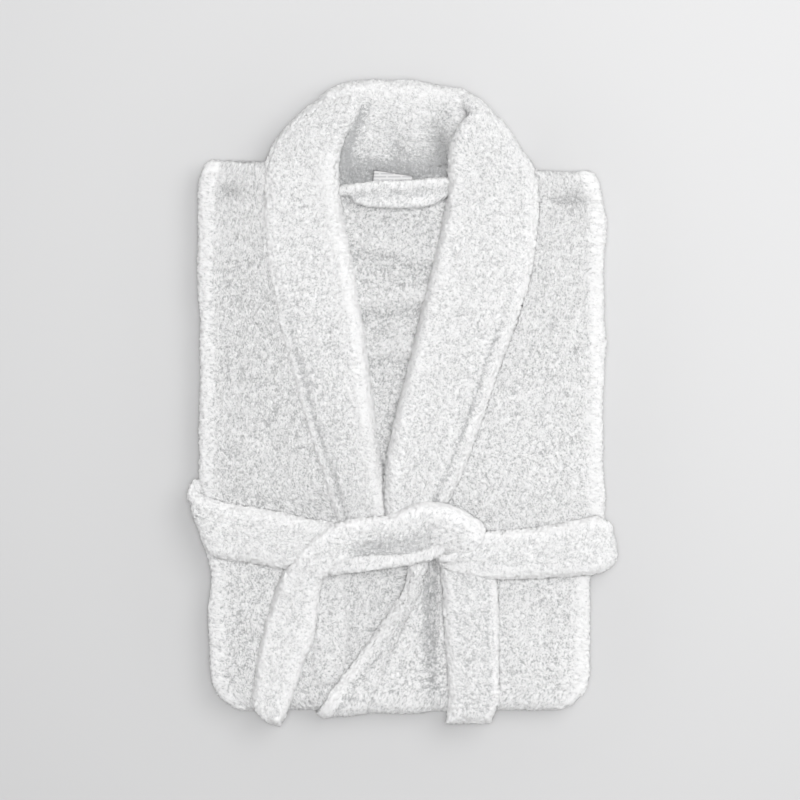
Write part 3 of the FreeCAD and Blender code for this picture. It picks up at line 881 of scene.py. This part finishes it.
def make_hem():
    """The doubled edge of the skirt: one layer for its fronts and one for its back."""
    low, high = corner("skirt_hem")
    front_left = [(low[0], low[1] - 3, 5), (low[0], (low[1] + high[1]) / 2, 4.5), (low[0], high[1], 4.5)]
    front_right = [(high[0], low[1] - 3, 5), (high[0], (low[1] + high[1]) / 2, 4.5), (high[0], high[1], 4.5)]
    back_left = [(low[0], high[1], 12), (low[0], (low[1] + high[1]) / 2, 12), (low[0], low[1] - 3, 12)]
    back_right = [(high[0], high[1], 12), (high[0], (low[1] + high[1]) / 2, 12), (high[0], low[1] - 3, 12)]

    def relief(from_left, from_right, along, middle):
        return -1.5 * bump(along, 5, 2.5)
    front = strip(front_left, front_right, 7.4, edge=4.0, spacing=MEDIUM, relief=relief)
    back = strip(back_left, back_right, 7.0, edge=4.0, spacing=MEDIUM)
    return [front, back]


def make_belt_loop(side):
    low, high = corner("belt_loop_left" if side < 0 else "belt_loop_right")
    middle_y = (low[1] + high[1]) / 2
    left = [(low[0], high[1], 31), (low[0], high[1] - 8, 28.4), (low[0], middle_y, 28.2),
            (low[0], low[1] + 8, 28.4), (low[0], low[1], 31)]
    right = [(high[0], y, z) for _, y, z in left]
    return strip(left, right, 1.4, edge=0.7, spacing=1.6)


LEFT_FACING = ([(-104, -168, 44.6), (-102, -240, 44.6), (-104, -290, 44.6), (-108, -318, 42.0)],
               [(-60, -168, 44.6), (-58, -240, 44.6), (-60, -290, 44.6), (-66, -318, 42.0)])


def make_left_facing():
    def relief(from_left, from_right, along, middle):
        return -1.2 * bump(from_left, 6, 2.2)
    # A faint painted highlight along its edges.
    return strip(*LEFT_FACING, 4.0, edge=12.0, relief=relief, pale=0.1)


def build_robe():
    top, skirt = "upper_robe", "lower_robe"
    collar = {"material": COLLAR_CLOTH, "slot": "collar_terry"}
    belt = {"material": BELT_CLOTH, "slot": "belt_terry"}
    made = {}

    def add(name, body, nodes, shells, material=CLOTH, **more):
        made[name] = piece(name, body, nodes, shells, material, **more)

    add("back", None, ["back_panel", "skirt_back"], [make_back()], pile=1.45)
    add("left_front", None, ["front_panel_left", "skirt_front_left"], [make_left_front()])
    add("right_front", None, ["front_panel_right", "skirt_front_right"], [make_right_front()])
    add("right_facing", None, ["front_facing_right"], [make_right_facing()])
    add("left_facing", top, ["front_facing_left"], [make_left_facing()])
    add("left_collar", top, ["collar_left"], [make_left_collar()], **collar)
    add("right_collar", top, ["collar_right"], [make_right_collar()], **collar)
    add("neck_back", top, ["collar_left", "collar_right"], [make_neck()], **collar)
    add("under_collar_fall", top, ["under_collar"], [make_under_collar()], **collar)
    add("loop_strip", "hanging_loop", ["hanger_loop"], [make_hanger_loop()], **belt, pile=0.8)
    add("label", top, ["care_label"], [make_label()], LABEL, slot="label", pile=0)
    add("left_belt_span", top, ["belt_span_left"], [make_left_span()], **belt)
    add("right_belt_span", top, ["belt_span_right"], [make_right_span()], **belt)
    add("back_belt_span", top, ["belt_back"], [make_belt_back()], **belt, pile=0.5)
    add("over_band", None, ["belt_knot", "belt_tail_left"], [make_over_band()], **belt)
    add("under_band", top, ["belt_knot"], [make_under_band()], **belt)
    add("right_tail_strip", None, ["belt_tail_right"], [make_right_tail()], **belt)
    add("hem", skirt, ["skirt_hem"], make_hem(), pile=0.5)
    for side, word in ((-1, "left"), (1, "right")):
        add(f"{word}_sleeve_tube", None, [f"sleeve_{word}"], [make_sleeve(side)], pile=0.5)
        add(f"{word}_cuff_band", f"{word}_sleeve", [f"cuff_{word}"], [make_cuff(side)], pile=0.5)
        add(f"{word}_patch_pocket", skirt, [f"pocket_{word}"], [make_pocket(side)], pile=0.5)
        add(f"{word}_belt_loop", top, [f"belt_loop_{word}"], [make_belt_loop(side)], **belt, pile=0.3)
    return made


def bend_over_joints(made):
    for name in ("back", "left_front", "right_front", "right_facing"):
        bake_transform(made[name])
    for word in ("left", "right"):
        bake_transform(made[f"{word}_sleeve_tube"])
    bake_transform(made["over_band"])
    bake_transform(made["right_tail_strip"])


def make_floor():
    mesh = bpy.data.meshes.new("floor")
    far = 6.0
    mesh.from_pydata([(-far, -far, 0), (far, -far, 0), (far, far, 0), (-far, far, 0)], [], [(0, 1, 2, 3)])
    floor = bpy.data.objects.new("floor", mesh)
    bpy.context.scene.collection.objects.link(floor)
    mat = bpy.data.materials.new("floor_paper")
    mat.use_nodes = True
    shader = mat.node_tree.nodes["Principled BSDF"]
    shader.inputs["Roughness"].default_value = 0.9
    nodes, links = mat.node_tree.nodes, mat.node_tree.links
    place = nodes.new("ShaderNodeTexCoord")
    turn = nodes.new("ShaderNodeMapping")
    turn.inputs["Location"].default_value = (0.5, 0.5, 0)
    turn.inputs["Rotation"].default_value = (0, 0, math.radians(-50))
    turn.inputs["Scale"].default_value = (0.5, 0.5, 0.5)
    # Painted light falloff: the floor is paler towards the upper right and darker towards the lower left.
    painted_falloff = nodes.new("ShaderNodeTexGradient")
    painted_shading = nodes.new("ShaderNodeValToRGB")
    painted_shading.color_ramp.elements[0].color = (0.470, 0.470, 0.473, 1)
    painted_shading.color_ramp.elements[1].color = (0.610, 0.610, 0.614, 1)
    links.new(place.outputs["Object"], turn.inputs["Vector"])
    links.new(turn.outputs["Vector"], painted_falloff.inputs["Vector"])
    links.new(painted_falloff.outputs["Fac"], painted_shading.inputs["Fac"])
    links.new(painted_shading.outputs["Color"], shader.inputs["Base Color"])
    floor.data.materials.append(mat)
    floor.location.z = -0.0005


def add_lamp(name, place, size, energy):
    light = bpy.data.lights.new(name, "AREA")
    light.size = size
    light.energy = energy
    lamp = bpy.data.objects.new(name, light)
    bpy.context.scene.collection.objects.link(lamp)
    lamp.location = place
    lamp.rotation_euler = (-lamp.location.normalized()).to_track_quat("-Z", "Y").to_euler()


def make_lights():
    """Soft, nearly shadowless light: from above, from the upper right, and from pale walls all round."""
    scene = bpy.context.scene
    scene.world = bpy.data.worlds.new("studio")
    scene.world.use_nodes = True
    nodes, links = scene.world.node_tree.nodes, scene.world.node_tree.links
    sky = nodes["Background"]
    place = nodes.new("ShaderNodeTexCoord")
    parts = nodes.new("ShaderNodeSeparateXYZ")
    links.new(place.outputs["Generated"], parts.inputs["Vector"])
    walls = nodes.new("ShaderNodeValToRGB")
    walls.color_ramp.elements[0].position = 0.3
    walls.color_ramp.elements[0].color = (1, 1, 1, 1)
    walls.color_ramp.elements[1].position = 0.6
    walls.color_ramp.elements[1].color = (0.18, 0.18, 0.18, 1)
    links.new(parts.outputs["Z"], walls.inputs["Fac"])
    links.new(walls.outputs["Color"], sky.inputs["Color"])
    sky.inputs["Strength"].default_value = 1.3
    add_lamp("overhead_box", (0.0, 0.0, 3.3), 0.6, 69)
    add_lamp("side_box", (0.9, 0.6, 2.2), 1.5, 25)
    scene.view_settings.view_transform = "Standard"


def make_camera():
    camera = bpy.data.cameras.new("overhead")
    camera.sensor_width = 36.0
    height, seen = 3.0, 0.88
    camera.lens = 36.0 * height / seen
    eye = bpy.data.objects.new("overhead", camera)
    bpy.context.scene.collection.objects.link(eye)
    eye.location = (-0.0017, 0.0039, height + 0.05)
    bpy.context.scene.camera = eye


make_camera()
made = build_robe()
bend_over_joints(made)
make_floor()
make_lights()
